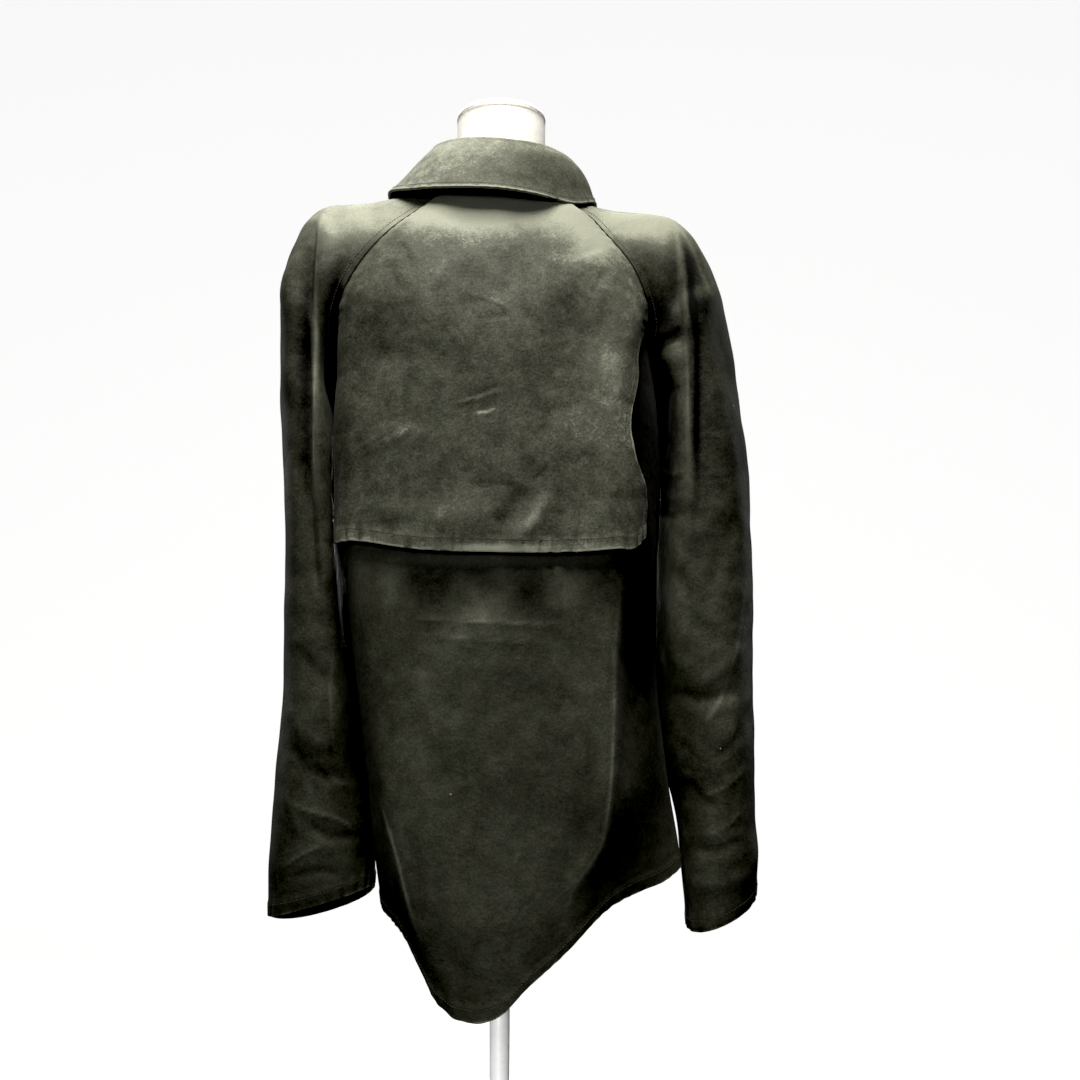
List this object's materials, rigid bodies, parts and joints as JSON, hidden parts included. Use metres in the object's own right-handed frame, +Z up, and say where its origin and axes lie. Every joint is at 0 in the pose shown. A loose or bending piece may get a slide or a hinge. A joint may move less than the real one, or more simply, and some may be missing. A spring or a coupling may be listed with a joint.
{
  "type": "trench coat on dress form",
  "caption": "Short dark waxed coat with raglan sleeves, back cape and turned-down collar, hanging empty on a slim limbless dress form with pole and round base.",
  "frame": {"origin": "centre of the form's base on the floor", "axes": "+Z up, the coat's back faces +Y and its left sleeve is at +X"},
  "size_m": [0.4958, 0.33, 1.4275],
  "materials": {
    "waxed_olive": "waxed cotton with a soft, uneven sheen",
    "waxed_olive_collar": "duller cotton",
    "button_horn": "satin",
    "form_linen": "off-white linen",
    "form_paint": "matt"
  },
  "bodies": {
    "root": {"back_panel": "waxed_olive", "front_left": "waxed_olive", "front_right": "waxed_olive", "cape": "waxed_olive", "sleeve_left": "waxed_olive", "sleeve_right": "waxed_olive", "collar_stand": "waxed_olive_collar", "collar_fall": "waxed_olive_collar", "button_1": "button_horn", "button_2": "button_horn", "button_3": "button_horn", "button_4": "button_horn", "button_5": "button_horn", "form_torso": "form_linen", "form_neck": "form_linen", "form_pole": "form_paint", "form_base": "form_paint"}
  },
  "joints": []
}
